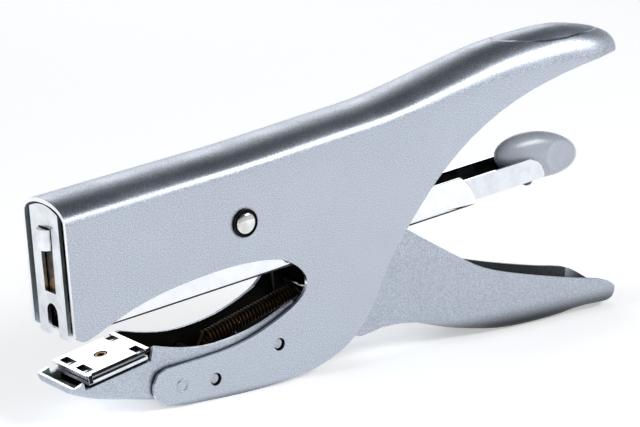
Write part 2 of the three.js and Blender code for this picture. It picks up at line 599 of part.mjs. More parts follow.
const pusherFront = railFront + 0.5;
const pusherLength = 11;
let pusher = box(pusherFront, pusherFront + pusherLength, -magInner + 0.35, magInner - 0.35,
  railTop + GAP, magTop - 0.1);
pusher = pusher.add(box(pusherFront, pusherFront + pusherLength, -railInner + GAP, railInner - GAP,
  railFloor + RAIL_SHEET + GAP, railTop + 0.5));
const alongBar = (from, to, radius, sides = 16) => {
  const geometry = new THREE.CylinderGeometry(radius, radius, to - from, sides);
  geometry.rotateZ(Math.PI / 2);
  geometry.translate((from + to) / 2, 0, rodHeight);
  return solid(geometry);
};
pusher = pusher.subtract(alongBar(-90, 90, rodRadius + GAP));
add(magazine, "pusher", pusher, BRIGHT);
const rodStop = 38;
const stopBlock = box(rodStop, rodStop + 3, -railInner + GAP, railInner - GAP,
  railFloor + RAIL_SHEET + GAP, railTop - 0.2);
add(magazine, "spring_stop", stopBlock.subtract(alongBar(-90, 90, rodRadius + GAP)), BRIGHT);
add(magazine, "pusher_rod", alongBar(railFront + 1, rodStop + 4, rodRadius), BRIGHT);
add(magazine, "pusher_spring", coil([pusherFront + pusherLength + GAP, rodHeight],
  [rodStop - GAP, rodHeight], { radius: coilRadius, ...PUSHER_SPRING }), SPRING);

// ---- Stand the stapler on the ground, centred along its length --------------------------------------
const bounds = new THREE.Box3().setFromObject(root, true);
root.position.set(-(bounds.min.x + bounds.max.x) / 2, 0, -bounds.min.z);

export default root;
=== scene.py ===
"""Looks of a plier stapler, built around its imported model.

Sizes are millimetres from the axis of the main pivot: x to the handles, y to the far side, z up.
"""

import math

import bmesh
import bpy
from mathutils import Matrix, Vector


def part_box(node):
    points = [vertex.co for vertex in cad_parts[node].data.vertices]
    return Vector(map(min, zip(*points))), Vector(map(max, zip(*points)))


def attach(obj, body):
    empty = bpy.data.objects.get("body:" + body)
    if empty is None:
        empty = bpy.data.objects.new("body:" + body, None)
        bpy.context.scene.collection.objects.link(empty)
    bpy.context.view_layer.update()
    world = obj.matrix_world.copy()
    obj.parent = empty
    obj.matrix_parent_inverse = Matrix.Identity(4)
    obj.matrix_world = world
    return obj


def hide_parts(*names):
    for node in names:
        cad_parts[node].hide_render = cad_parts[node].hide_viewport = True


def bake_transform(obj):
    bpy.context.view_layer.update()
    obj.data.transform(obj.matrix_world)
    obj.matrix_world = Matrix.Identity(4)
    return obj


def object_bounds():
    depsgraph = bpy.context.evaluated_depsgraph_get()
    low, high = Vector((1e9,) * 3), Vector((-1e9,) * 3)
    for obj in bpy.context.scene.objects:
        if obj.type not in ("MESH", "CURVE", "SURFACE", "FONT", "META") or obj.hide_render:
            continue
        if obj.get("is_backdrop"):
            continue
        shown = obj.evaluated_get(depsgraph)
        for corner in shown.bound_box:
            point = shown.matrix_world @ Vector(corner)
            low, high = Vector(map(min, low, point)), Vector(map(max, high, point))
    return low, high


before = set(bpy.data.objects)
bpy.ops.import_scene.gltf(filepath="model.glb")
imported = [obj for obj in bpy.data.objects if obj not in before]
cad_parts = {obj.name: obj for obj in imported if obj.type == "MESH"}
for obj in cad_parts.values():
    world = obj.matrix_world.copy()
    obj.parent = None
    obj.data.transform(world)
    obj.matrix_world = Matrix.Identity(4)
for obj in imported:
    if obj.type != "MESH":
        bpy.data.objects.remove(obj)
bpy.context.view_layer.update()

# ---- Studio --------------------------------------------------------------------------------------
# A white paper sweep that glows a little, as when it is lit from below, in a room whose pale walls
# darken upwards. Softboxes stand to the right, beyond the object and on the head's side.
MM = 0.001
FLOOR_SIZE = 3.0
FLOOR_GLOW = 0.44


def linear(code):
    """A linear colour with alpha from an sRGB hex code."""
    channels = [int(code[i : i + 2], 16) / 255 for i in (1, 3, 5)]
    return [c / 12.92 if c <= 0.04045 else ((c + 0.055) / 1.055) ** 2.4 for c in channels] + [1.0]


def add(tree, kind, settings=(), stops=(), **links):
    """Adds a node. Settings are (name, value) pairs of its own or of its inputs, stops are
    (position, sRGB code) pairs of a ramp, and links are the sockets that its inputs read."""
    made = tree.nodes.new(kind)
    for name, value in settings:
        if isinstance(name, str) and hasattr(made, name):
            setattr(made, name, value)
        else:
            made.inputs[name].default_value = value
    for place, (position, code) in enumerate(stops):
        elements = made.color_ramp.elements
        stop = elements[place] if place < 2 else elements.new(position)
        stop.position, stop.color = position, linear(code)
    for name, source in links.items():
        tree.links.new(source, made.inputs[name.replace("_", " ")])
    return made


def material(name, **constants):
    """A named material with a shader whose sockets hold the constants, as (material, tree, shader)."""
    made = bpy.data.materials.new(name)
    made.use_nodes = True
    tree = made.node_tree
    tree.nodes.clear()
    shader = add(tree, "ShaderNodeBsdfPrincipled")
    add(tree, "ShaderNodeOutputMaterial", Surface=shader.outputs[0])
    for socket, value in constants.items():
        shader.inputs[socket.replace("_", " ")].default_value = value
    return made, tree, shader


def put(name, data):
    """Adds an object that holds the data to the scene."""
    made = bpy.data.objects.new(name, data)
    bpy.context.scene.collection.objects.link(made)
    return made


bpy.context.scene.view_settings.view_transform = "Standard"
bpy.ops.mesh.primitive_grid_add(x_subdivisions=8, y_subdivisions=8, size=FLOOR_SIZE)
floor = bpy.context.object
floor.name = "studio_floor"
paper, _, _ = material(
    "white_paper_sweep",
    Base_Color=linear("#f6f7f8"),
    Roughness=0.9,
    Emission_Color=linear("#ffffff"),
    Emission_Strength=FLOOR_GLOW,
)
floor.data.materials.append(paper)
floor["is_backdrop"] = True

world = bpy.data.worlds.new("studio_room")
bpy.context.scene.world = world
world.use_nodes = True
room = world.node_tree
height = add(room, "ShaderNodeSeparateXYZ", Vector=add(room, "ShaderNodeTexCoord").outputs["Generated"])
WALLS = (
    (0.0, "#dfe1e4"),
    (1.0, "#6c7075"),
    (0.25, "#d0d3d7"),
    (0.38, "#b0b3b8"),
    (0.5, "#686b70"),
    (0.8, "#3a3c40"),
)
walls = add(room, "ShaderNodeValToRGB", stops=WALLS, Fac=height.outputs["Z"])
room.links.new(walls.outputs["Color"], room.nodes["Background"].inputs["Color"])
room.nodes["Background"].inputs["Strength"].default_value = 1.0


def softbox(name, place, aim, size, power):
    """A rectangular light, out of the camera's sight; places and sizes in metres, power in watts."""
    data = bpy.data.lights.new(name, "AREA")
    data.shape = "RECTANGLE"
    data.size, data.size_y = size
    data.energy = power
    lamp = put(name, data)
    lamp.location = place
    lamp.rotation_euler = (Vector(aim) - Vector(place)).to_track_quat("-Z", "Y").to_euler()
    lamp.visible_camera = False


softbox("right_softbox", (0.58, -0.62, 0.62), (0.02, 0, 0.05), (0.55, 0.24), 5.0)
softbox("head_softbox", (-0.8, 0.05, 0.3), (-0.08, 0, 0.04), (0.3, 0.35), 3.4)
softbox("rear_softbox", (0.40, 0.80, 0.47), (-0.06, 0, 0.03), (0.7, 0.2), 1.2)

# The camera looks past the head from the near side, from a little above the handle.
CAMERA_PLACE = Vector((-0.39972, -0.51546, 0.20611))
CAMERA_AIM = Vector((0.58505, 0.77320, -0.24470))
CAMERA_ROLL = math.radians(0.46)
camera_data = bpy.data.cameras.new("camera")
camera_data.lens = 135.0
camera_data.sensor_width = 36.0
camera = put("camera", camera_data)
camera.location = CAMERA_PLACE
turn = CAMERA_AIM.to_track_quat("-Z", "Y").to_matrix() @ Matrix.Rotation(CAMERA_ROLL, 3, "Z")
camera.rotation_euler = turn.to_euler()
bpy.context.scene.camera = camera

# ---- Pressed body --------------------------------------------------------------------------------
# One steel blank, pressed to a hood over the head and handle. It is blasted before a satin nickel
# plate, so it looks like pale blue-grey pearl, with a sheared edge all round whose whiter tone is a
# painted highlight.
rivet_low, rivet_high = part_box("pivot_rivet")
PIVOT = (rivet_low + rivet_high) / 2
BODY_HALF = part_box("body_shell")[1].y / MM
BODY_SHEET = 1.1
SHARP = math.radians(34)
FACES = 0.3  # part of its unit normal that a face needs along a direction to face it
SQUARE = 0.95  # the same, to face it squarely
LEAN = 0.01  # the same, to lean that way at all
TOUCH = 0.1  # mm within which a face lies in a plane


def at(x, y, z):
    """A point in metres from millimetres off the main pivot."""
    return PIVOT + Vector((x, y, z)) * MM


def off(point):
    """Millimetres off the main pivot from a point in metres."""
    return (point - PIVOT) / MM


def clean(node):
    """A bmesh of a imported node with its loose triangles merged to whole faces."""
    work = bmesh.new()
    work.from_mesh(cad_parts[node].data)
    bmesh.ops.remove_doubles(work, verts=work.verts, dist=2e-6)
    bmesh.ops.dissolve_limit(work, angle_limit=math.radians(0.4), verts=work.verts, edges=work.edges)
    bmesh.ops.connect_verts_concave(work, faces=work.faces)
    return work


def solid(piece, work):
    """Makes a bmesh into the mesh of a new smooth object."""
    shape = bpy.data.meshes.new(piece)
    work.to_mesh(shape)
    work.free()
    shape.shade_smooth()
    return put(piece, shape)


def show(piece, work, look, rides, node, parts=(), sharp=SHARP):
    """Makes a bmesh into a piece that stands for a CAD node and rides on its body. A face has the
    look of the first (look, test) pair in parts whose test it passes, or else the piece's look."""
    looks = list(dict.fromkeys([look] + [other for other, _ in parts]))
    for face in work.faces:
        centre, facing = off(face.calc_center_median()), face.normal
        passed = (other for other, test in parts if test(centre, facing))
        face.material_index = looks.index(next(passed, look))
    made = solid(piece, work)
    for used in looks:
        made.data.materials.append(used)
    made.data.set_sharp_from_angle(angle=sharp)
    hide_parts(node)
    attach(made, rides)
    return made


def settle(made):
    """Turns an object's modifiers into its mesh."""
    graph = bpy.context.evaluated_depsgraph_get()
    shape = bpy.data.meshes.new_from_object(made.evaluated_get(graph))
    made.modifiers.clear()
    made.data = shape


def roll_edges(made, radius, look):
    """Rounds every sharp edge by a radius in mm, as tumbling does, and gives the rounding a look."""
    looks = made.data.materials
    if look.name not in looks:
        looks.append(look)
    rounding = made.modifiers.new("rolled_edge", "BEVEL")
    rounding.width = radius * MM
    rounding.segments = 2
    rounding.limit_method = "ANGLE"
    rounding.angle_limit = SHARP
    rounding.material = looks.find(look.name)
    rounding.harden_normals = True
    settle(made)


def shaded(tree, tone, reach, shade_colour):
    """A tone painted darker towards a shade colour where other faces are nearer than reach mm: painted
    shade in seams, creases and recesses.
    """
    shade = add(tree, "ShaderNodeAmbientOcclusion", [("Distance", reach * MM), ("samples", 8)])
    openness = ((0.35, shade_colour), (0.85, "#ffffff"))
    tint = add(tree, "ShaderNodeValToRGB", stops=openness, Fac=shade.outputs["AO"])
    shade_mix = add(tree, "ShaderNodeMix", [("data_type", "RGBA"), ("blend_type", "MULTIPLY"), (0, 1.0)])
    tree.links.new(tone, shade_mix.inputs[6])
    tree.links.new(tint.outputs["Color"], shade_mix.inputs[7])
    return shade_mix.outputs[2]


def per(size):
    """The scale of a pattern whose cells are that many mm wide."""
    return 1 / (size * MM)


DIMPLE = 0.25  # width of the blasted dimples, drawn coarse enough to show
DIMPLE_DEPTH = 0.02
HAZE = 11.1  # width of the patches that are a little more or less glossy
HAZE_STEP = 0.04
SHADE_REACH = 2.5  # mm from a neighbour within which blasted steel is painted darker, as shade


def satin(name, light, dark, rough=0.4, shade_colour="#3a3d42", painted_fade=None):
    """Blasted and plated steel, dimpled and pearly, with painted shade in its seams. The optional fade
    paints light or shade along an axis: it gives the axis, the places in mm off the pivot between which
    the tone turns, and its end colour."""
    made, tree, shader = material(name, Metallic=1.0)
    place = add(tree, "ShaderNodeTexCoord").outputs["Object"]
    grit = [("Scale", per(DIMPLE)), ("Detail", 2.0), ("Roughness", 0.6)]
    dimples = add(tree, "ShaderNodeTexNoise", grit, Vector=place).outputs["Fac"]
    clouds = add(tree, "ShaderNodeTexNoise", [("Scale", per(HAZE)), ("Detail", 2.0)], Vector=place)
    speckle = ((0.38, dark), (0.62, light))
    tone = add(tree, "ShaderNodeValToRGB", stops=speckle, Fac=dimples).outputs["Color"]
    if painted_fade:
        axis, start, end, colour = painted_fade
        level = add(tree, "ShaderNodeSeparateXYZ", Vector=place).outputs["XYZ".index(axis)]
        zero = PIVOT["XYZ".index(axis)]
        fade = [("From Min", zero + start * MM), ("From Max", zero + end * MM)]
        fade.append(("interpolation_type", "SMOOTHSTEP"))
        past = add(tree, "ShaderNodeMapRange", fade, Value=level).outputs["Result"]
        mixed = add(tree, "ShaderNodeMix", [("data_type", "RGBA"), (7, linear(colour))], Factor=past)
        tree.links.new(tone, mixed.inputs[6])
        tone = mixed.outputs[2]
    tree.links.new(shaded(tree, tone, SHADE_REACH, shade_colour), shader.inputs["Base Color"])
    span = [("From Min", 0.3), ("From Max", 0.7), ("To Min", rough - HAZE_STEP)]
    span.append(("To Max", rough + HAZE_STEP))
    haze = add(tree, "ShaderNodeMapRange", span, Value=clouds.outputs["Fac"])
    tree.links.new(haze.outputs["Result"], shader.inputs["Roughness"])
    pitted = [("Strength", 0.45), ("Distance", DIMPLE_DEPTH * MM)]
    bump = add(tree, "ShaderNodeBump", pitted, Height=dimples)
    tree.links.new(bump.outputs["Normal"], shader.inputs["Normal"])
    return made


DRAWN_LENGTH = 25.0
DRAWN_SPACING = 2 / 3  # of the drawn lines, coarse enough to show
DRAWN_DEPTH = 0.02
SHEEN = 3.85  # width of the patches in the plating


def plated(name, tone, dull, rough, shade_colour="#1c1e20", turn=0.0, reach=1.4):
    """Bright plated steel: mirror-like with a little haze and faint drawn lines along the sheet, with
    painted shade where other faces are nearer than reach mm.
    """
    made, tree, shader = material(name, Metallic=1.0)
    place = add(tree, "ShaderNodeTexCoord").outputs["Object"]
    scales = (per(DRAWN_LENGTH), per(DRAWN_SPACING), per(DRAWN_SPACING))
    drawn = [("Rotation", (0.0, turn, 0.0)), ("Scale", scales)]
    along = add(tree, "ShaderNodeMapping", drawn, Vector=place).outputs["Vector"]
    lines = add(tree, "ShaderNodeTexNoise", [("Scale", 1.0), ("Detail", 2.0)], Vector=along)
    clouds = add(tree, "ShaderNodeTexNoise", [("Scale", per(SHEEN)), ("Detail", 3.0)], Vector=place)
    sheen = add(tree, "ShaderNodeValToRGB", stops=((0.35, dull), (0.6, tone)), Fac=clouds.outputs["Fac"])
    tree.links.new(shaded(tree, sheen.outputs["Color"], reach, shade_colour), shader.inputs["Base Color"])
    span = [("From Min", 0.3), ("From Max", 0.7), ("To Min", rough * 0.85), ("To Max", rough * 1.15)]
    haze = add(tree, "ShaderNodeMapRange", span, Value=clouds.outputs["Fac"])
    tree.links.new(haze.outputs["Result"], shader.inputs["Roughness"])
    scored = [("Strength", 0.08), ("Distance", DRAWN_DEPTH * MM)]
    bump = add(tree, "ShaderNodeBump", scored, Height=lines.outputs["Fac"])
    tree.links.new(bump.outputs["Normal"], shader.inputs["Normal"])
    return made


satin_body = satin("satin_nickel_on_blasted_steel", "#cbd1db", "#9fa7b3")
# The hood's own copy of the plate has an oval pressed into it, on the crest near the handle's end.
satin_hood = satin("satin_nickel_with_pressed_oval", "#d8dee8", "#949ca8")
tree = satin_hood.node_tree
OVAL_CENTRE = at(114.8, 0, 38)
OVAL_HALF = (19.3, 7.9)
OVAL_STEP = 0.035  # width of the pressed step as a part of the oval's size
OVAL_DEPTH = 0.9
centred = [("Location", (-OVAL_CENTRE.x, 0.0, 0.0)), ("Scale", (1.0, 1.0, 0.0))]
flat = add(tree, "ShaderNodeMapping", centred, Vector=add(tree, "ShaderNodeTexCoord").outputs["Object"])
scaled = [("operation", "MULTIPLY"), (1, (per(OVAL_HALF[0]), per(OVAL_HALF[1]), 0.0))]
unit = add(tree, "ShaderNodeVectorMath", scaled)
tree.links.new(flat.outputs["Vector"], unit.inputs[0])
radius = add(tree, "ShaderNodeVectorMath", [("operation", "LENGTH")])
tree.links.new(unit.outputs["Vector"], radius.inputs[0])
step = [("From Min", 1 - OVAL_STEP), ("From Max", 1 + OVAL_STEP), ("interpolation_type", "SMOOTHSTEP")]
rise = add(tree, "ShaderNodeMapRange", step, Value=radius.outputs["Value"])
dimpled = next(node.inputs["Height"] for node in tree.nodes if node.type == "BUMP")
deep = add(tree, "ShaderNodeMath", [("operation", "MULTIPLY_ADD"), (1, OVAL_DEPTH / DIMPLE_DEPTH)])
tree.links.new(rise.outputs["Result"], deep.inputs[0])
tree.links.new(dimpled.links[0].from_socket, deep.inputs[2])
tree.links.new(deep.outputs["Value"], dimpled)
# A lighter copy of the plate for the hood's inside, with little seam shade, as painted light at the open
# front. It fades to near-black painted shade deeper in the throat.
satin_inside = satin(
    "satin_nickel_inside_of_hood",
    "#cfdbe2",
    "#b4c2ca",
    rough=0.5,
    shade_colour="#9aa3ab",
    painted_fade=("X", -49, -36, "#181918"),
)
# The sheared edge is smoother than the satin, and its whiter tone is a painted highlight.
bright_edge = plated("sheared_edge_with_painted_highlight", "#f4f6f9", "#e6e9ed", 0.25, shade_colour="#8b9099")


def body_edge(centre, facing):
    """The sheared rim all round the foot of the walls, and the rim of the head's open front."""
    in_sheet = BODY_HALF - BODY_SHEET + TOUCH / 2 < abs(centre.y) < BODY_HALF - TOUCH / 2
    foot = facing.z < -FACES and abs(facing.y) < 0.5
    return (in_sheet and foot) or facing.x < -SQUARE


def body_inside(centre, facing):
    """The walls' inner sides, which face the middle plane, and the roof between them."""
    looks_in = centre.y * facing.y < -LEAN * abs(centre.y)
    return looks_in or (facing.z < -FACES and abs(centre.y) < BODY_HALF - BODY_SHEET)


parts = ((bright_edge, body_edge), (satin_inside, body_inside))
work = clean("body_shell")
body = show("pressed_body", work, satin_hood, "frame", "body_shell", parts)
roll_edges(body, 0.2, bright_edge)

# ---- Lower jaw -----------------------------------------------------------------------------------
# A pressed channel between the tongues, plated like the body. Its inside is painted near-black as
# shade, with painted light ahead of the anvil, and the sheared rim of its front lip has the edge's
# whiter tone as a painted highlight.
# Painted near-black as shade inside the channel, turning to painted light ahead of the anvil.
dark_inside = satin(
    "inside_of_channel_with_painted_light_and_shade",
    "#2e2d2a",
    "#171715",
    rough=0.55,
    shade_colour="#33332f",
    painted_fade=("X", -45.6, -46.4, "#eceff2"),
)
JAW_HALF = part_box("lower_jaw")[1].y / MM
JAW_SHEET = 1.1
LIP_REAR = -48.0


def channel_inside(half):
    """A test for the faces that look into a channel with that inner half width."""

    def test(centre, facing):
        on_wall = abs(facing.y) > 0.6 and abs(abs(centre.y) - half) < TOUCH
        on_floor = facing.z > FACES and abs(centre.y) < half - TOUCH
        return (on_wall and centre.y * facing.y < 0) or on_floor

    return test


def jaw_lip(centre, facing):
    """The top and the rear of the front lip."""
    return centre.x < LIP_REAR and (facing.z > FACES or facing.x > 0.5)


parts = ((bright_edge, jaw_lip), (dark_inside, channel_inside(JAW_HALF - JAW_SHEET)))
work = clean("lower_jaw")
jaw = show("pressed_jaw", work, satin_body, "frame", "lower_jaw", parts)
roll_edges(jaw, 0.18, bright_edge)

# ---- Lower handle --------------------------------------------------------------------------------
# The squeezing lever: two arms that close into a nose at the head, and a boat-shaped grip whose
# lower corners are rolled. It has the body's plate, painted darker towards its foot as shade on the
# rolled corners. The nose is rubbed bright, and the inside of the grip is rougher and painted dark as
# shade, darkest towards the head.
LEVER_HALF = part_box("lower_handle")[1].y / MM
LEVER_SHEET = 1.2
NOSE_REAR = -44.0
# The fade to near-black towards the foot is painted shade on the rolled lower corners.
satin_lever = satin(
    "satin_nickel_on_lever", "#c6ccd6", "#9ba3af", rough=0.42, painted_fade=("Z", -39.8, -46.0, "#1f2123")
)
# The grip's inside is painted dark as shade, darkest towards the head.
shaded_grip_inside = satin(
    "inside_of_grip_in_painted_shade",
    "#5d6063",
    "#45484b",
    rough=0.5,
    shade_colour="#161718",
    painted_fade=("X", 66, 46, "#1b1b1a"),
)
nose_bright = plated("rubbed_bright_nose", "#eceef1", "#d5d9dd", 0.14, shade_colour="#26282b")


def nose(centre, facing):
    """The rubbed end that works in the plate's window."""
    return centre.x < NOSE_REAR


parts = ((nose_bright, nose), (shaded_grip_inside, channel_inside(LEVER_HALF - LEVER_SHEET)))
work = clean("lower_handle")
lever = show("squeezing_lever", work, satin_lever, "lever", "lower_handle", parts)
roll_edges(lever, 0.2, satin_lever)

# ---- Magazine channel ----------------------------------------------------------------------------
# Folded from thin steel and bright zinc plated, so it mirrors the white room. The folds at its foot
# are round, and its underside and the rounding of its edges are painted dark as shade.
MAGAZINE_TILT = math.radians(6.75)
MAGAZINE_SHEET = 0.8
MAGAZINE_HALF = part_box("magazine_channel")[1].y / MM
FOLD = 1.5  # outer radius of the folds along the foot
along_magazine = Matrix.Rotation(MAGAZINE_TILT, 3, "Y")
zinc = plated("bright_zinc_on_channel", "#f4f6f9", "#eaedf1", 0.12, turn=MAGAZINE_TILT)
# The underside and the rounded edges are painted dark as shade.
zinc_under = plated("zinc_underside_in_painted_shade", "#33353a", "#222427", 0.3)
dark_zinc = plated("shaded_zinc_inside", "#3a3d42", "#292b2e", 0.35, shade_colour="#0b0b0c")


def fold(work, turned, half, radius):
    """Rounds the two long lower edges of a folded channel, found in its own turned frame."""
    lowest = min((turned @ off(vertex.co)).z for vertex in work.verts)
    slack, shortest = 0.06, 1.0
    chosen = []
    for edge in work.edges:
        ends = [turned @ off(vertex.co) for vertex in edge.verts]
        misses = [max(abs(end.z - lowest), abs(abs(end.y) - half)) for end in ends]
        if max(misses) < slack and abs(ends[0].x - ends[1].x) > shortest:
            chosen.append(edge)
    bmesh.ops.bevel(work, geom=chosen, offset=radius * MM, segments=4, profile=0.5, affect="EDGES")


def under(turned):
    """A test for the faces that look down in a turned frame."""
    return lambda centre, facing: (turned @ facing).z < -FACES


work = clean("magazine_channel")
fold(work, along_magazine, MAGAZINE_HALF, FOLD)
inside = channel_inside(MAGAZINE_HALF - MAGAZINE_SHEET)
parts = ((dark_zinc, inside), (zinc_under, under(along_magazine)))
channel = show("magazine", work, zinc, "magazine", "magazine_channel", parts)
roll_edges(channel, 0.16, zinc_under)

# ---- Front plate and driver ----------------------------------------------------------------------
# The plate is a plated stamping with a window for the lever's nose and a notch over the anvil. The
# driver behind it is ground spring steel, with straw-coloured temper marks.
plate_zinc = plated("plated_front_stamping", "#e6e9ed", "#d3d7dc", 0.2, shade_colour="#4a4d52")
work = clean("front_plate")
plate = show("front_stamping", work, plate_zinc, "magazine", "front_plate")
# The plate's rolled edges take the sheared edge's painted highlight.
roll_edges(plate, 0.14, bright_edge)

blade_steel, tree, shader = material("ground_and_tempered_steel", Metallic=1.0, Roughness=0.32)
place = add(tree, "ShaderNodeTexCoord").outputs["Object"]
TEMPER_PATCH = 4.35  # width of the temper marks
patches = add(tree, "ShaderNodeTexNoise", [("Scale", per(TEMPER_PATCH)), ("Detail", 3.0)], Vector=place)
TEMPER = ((0.35, "#2a2825"), (0.7, "#35322e"), (0.52, "#4b443b"), (0.6, "#8a6a3c"))
temper = add(tree, "ShaderNodeValToRGB", stops=TEMPER, Fac=patches.outputs["Fac"])
tree.links.new(temper.outputs["Color"], shader.inputs["Base Color"])
driver = show("driver", clean("driver_blade"), blade_steel, "driver", "driver_blade")
roll_edges(driver, 0.08, blade_steel)

# ---- Loading rail --------------------------------------------------------------------------------
# A narrower folded channel that draws out rearwards and carries the spring, pusher and knob. Its zinc
# has worn a little greyer than the magazine's.
RAIL_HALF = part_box("loading_rail")[1].y / MM
RAIL_SHEET = 0.7
RAIL_FOLD = 1.2
# The longer reach paints a wider shade on the rail beside the magazine's rear edge. The underside and
# rounded edges are painted dark as shade, as on the magazine.
rail_zinc = plated(
    "bright_zinc_on_rail", "#e0e4e9", "#d4d8de", 0.16, turn=MAGAZINE_TILT, reach=2.4
)
work = clean("loading_rail")
fold(work, along_magazine, RAIL_HALF, RAIL_FOLD)
inside = channel_inside(RAIL_HALF - RAIL_SHEET)
parts = ((dark_zinc, inside), (zinc_under, under(along_magazine)))
rail = show("rail", work, rail_zinc, "rail", "loading_rail", parts)
roll_edges(rail, 0.16, zinc_under)

# ---- Anvil ---------------------------------------------------------------------------------------
# A small chromed plate, mirror bright, with a worn brass rivet through its middle. Two pockets at
# each end turn the legs of a staple in or out, and the plate turns on a bed between the jaw's walls.
ANVIL_TILT = math.radians(12)
ANVIL_RIM = 8.0  # only the tabs reach further out than this
FLOOR_SLOPE = 0.999  # a pocket's floor slopes more than a face with this upward part of its normal
CRISP = math.radians(10)  # the pockets' shallow edges are left sharp
along_anvil = Matrix.Rotation(ANVIL_TILT, 3, "Y")
chrome = plated("chromed_anvil", "#e9ecf0", "#d7dbe0", 0.14, shade_colour="#17181a")
# The pockets' halves are painted as reflections: black on the half that faces the near side, pale blue
# on the half that faces the far side. The tabs' sides are painted black as shade.
pocket_dark = plated("pocket_half_with_painted_dark_reflection", "#222324", "#141515", 0.3)
pocket_light = plated("pocket_half_with_painted_pale_reflection", "#b9cbd8", "#a9bac7", 0.2)


def pocket(side):
    """A test for the half of a pocket's floor that faces a side."""

    def test(centre, facing):
        turned = along_anvil @ facing
        return FACES < turned.z < FLOOR_SLOPE and turned.y * side > LEAN

    return test


def anvil_rim(centre, facing):
    """The sides of the plate's tabs."""
    return abs(facing.y) > SQUARE and abs(centre.y) > ANVIL_RIM


parts = ((pocket_dark, pocket(-1)), (pocket_light, pocket(1)), (pocket_dark, anvil_rim))
work = clean("anvil_plate")
anvil = show("anvil_top", work, chrome, "anvil", "anvil_plate", parts, CRISP)
roll_edges(anvil, 0.08, chrome)
base = show("anvil_bed", clean("anvil_base"), chrome, "frame", "anvil_base")
roll_edges(base, 0.1, chrome)
brass = plated("worn_brass_eyelet", "#a98c66", "#846c4e", 0.3)
eyelet = show("anvil_eyelet", clean("anvil_rivet"), brass, "frame", "anvil_rivet")
roll_edges(eyelet, 0.1, brass)

# ---- Main pivot ----------------------------------------------------------------------------------
# A steel rivet with a spun head at each side: a polished dome that stands in a turned groove. The
# groove and the rim round it are painted dark as shade.
# It turns in a sleeve that keeps the lever's arms apart.
HEAD_RADIUS = (rivet_high.x - rivet_low.x) / 2 / MM
HEAD_TOP = rivet_high.y / MM
HEAD_FOOT = HEAD_TOP - 1.3
SHANK = 2.6
DOME_RADIUS = 3.0
DOME_HEIGHT = 1.0
DOME_FOOT = HEAD_FOOT + 0.3
DOME_STEPS = 8
GROOVE = HEAD_FOOT + 0.15


def spin(profile, centre, closed=False, sides=72):
    """A bmesh turned about the y direction, from (radius, y) points in mm; centre gives x and z."""
    work = bmesh.new()
    rings = []
    for radius, across in profile:
        count = sides if radius > 0 else 1
        ring = []
        for k in range(count):
            turn = 2 * math.pi * k / count
            x, z = centre[0] + radius * math.cos(turn), centre[1] + radius * math.sin(turn)
            ring.append(work.verts.new(at(x, across, z)))
        rings.append(ring)
    for inner, outer in zip(rings, rings[1:] + rings[:1] if closed else rings[1:]):
        for k in range(sides):
            after = (k + 1) % sides
            corners = [inner[k % len(inner)], inner[after % len(inner)]]
            corners += [outer[after % len(outer)], outer[k % len(outer)]]
            work.faces.new(list(dict.fromkeys(corners)))
    bmesh.ops.recalc_face_normals(work, faces=work.faces)
    return work


arc = [step / DOME_STEPS * math.pi / 2 for step in range(DOME_STEPS + 1)]
dome = [(DOME_RADIUS * math.sin(t), DOME_FOOT + DOME_HEIGHT * math.cos(t)) for t in arc]
rim = [
    (DOME_RADIUS + 0.1, GROOVE),
    (DOME_RADIUS + 0.4, GROOVE),
    (HEAD_RADIUS - 0.3, HEAD_FOOT + 0.45),
    (HEAD_RADIUS - 0.1, HEAD_FOOT + 0.42),
    (HEAD_RADIUS, HEAD_FOOT + 0.25),
    (HEAD_RADIUS, HEAD_FOOT),
    (SHANK, HEAD_FOOT),
]
half_profile = dome + rim
profile = half_profile + [(radius, -across) for radius, across in reversed(half_profile)]


def in_groove(centre, facing):
    """The head's ring outside the dome."""
    return abs(centre.y) > HEAD_FOOT and math.hypot(centre.x, centre.z) > DOME_RADIUS - TOUCH / 2


rivet_dome = plated("polished_rivet_dome", "#e6e6e4", "#d2d2cf", 0.12)
# The groove and the rim are painted dark as shade.
rivet_groove = plated("spun_groove_in_painted_shade", "#2b2926", "#1d1c1a", 0.35)
parts = ((rivet_groove, in_groove),)
work = spin(profile, (0, 0))
show("spun_rivet", work, rivet_dome, "frame", "pivot_rivet", parts)
polished = plated("polished_steel_pin", "#dfe2e6", "#cfd3d8", 0.14)
work = clean("pivot_sleeve")
sleeve = show("spacing_sleeve", work, polished, "frame", "pivot_sleeve")
roll_edges(sleeve, 0.15, polished)

# ---- Jaw rivets and the pressed ring -------------------------------------------------------------
# Four short rivets hold the jaw between the tongues. Their heads are a little dished and plated with
# the tongue, and their shanks take the channel's inside, painted dark as shade. A shallow ring is
# pressed into each tongue, ahead of them.
rivet_satin = satin("satin_nickel_on_rivet_heads", "#d3d8e0", "#b4bbc6", rough=0.34)
SHANK_TOP = BODY_HALF - 1.6


def on_shank(centre, facing):
    """The part of a rivet inside the jaw."""
    return abs(centre.y) < SHANK_TOP


parts = ((dark_inside, on_shank),)
for end in ("front", "rear"):
    for side in ("near", "far"):
        node = f"jaw_rivet_{end}_{side}"
        low, high = (off(corner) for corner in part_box(node))
        radius = (high.x - low.x) / 2
        outward = 1 if high.y > 0 else -1
        face, foot = (high.y, low.y) if outward > 0 else (low.y, high.y)
        profile = [(0, face - 0.12 * outward), (0.5 * radius, face - 0.1 * outward)]
        profile += [(0.72 * radius, face), (0.86 * radius, face), (radius, face - 0.25 * outward)]
        profile += [(radius, foot), (0, foot)]
        work = spin(profile, ((low.x + high.x) / 2, (low.z + high.z) / 2))
        show(f"flush_{node}", work, rivet_satin, "frame", node, parts)

